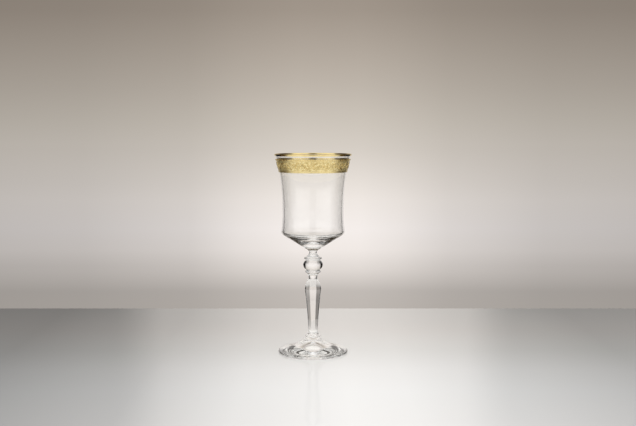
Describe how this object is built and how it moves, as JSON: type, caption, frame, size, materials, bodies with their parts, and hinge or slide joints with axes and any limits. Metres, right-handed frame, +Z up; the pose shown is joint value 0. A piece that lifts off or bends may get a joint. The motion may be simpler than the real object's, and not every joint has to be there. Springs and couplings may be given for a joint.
{
  "type": "white wine glass",
  "caption": "Stemmed white wine glass with a waisted, flared bowl, a knopped and faceted stem, a wide foot, a gilded lip and a gilded band with a scroll pattern.",
  "frame": {"origin": "centre of the foot, on the table", "axes": "+Z up along the stem's axis; a facet of the stem faces -Y"},
  "size_m": [0.0753, 0.0752, 0.1951],
  "materials": {
    "clear_glass": "clear, fire-polished",
    "polished_gold": "burnished gold film",
    "matt_gold": "matt, etched gold film"
  },
  "bodies": {
    "root": {"bowl": "clear_glass", "upper_merese": "clear_glass", "knop": "clear_glass", "lower_merese": "clear_glass", "baluster": "clear_glass", "base_collar": "clear_glass", "foot": "clear_glass", "rim_gilding": "polished_gold", "band_upper_strip": "polished_gold", "band_beading": "polished_gold", "band_ground": "matt_gold", "band_scrollwork": "polished_gold", "band_lower_strip": "polished_gold"}
  },
  "joints": []
}
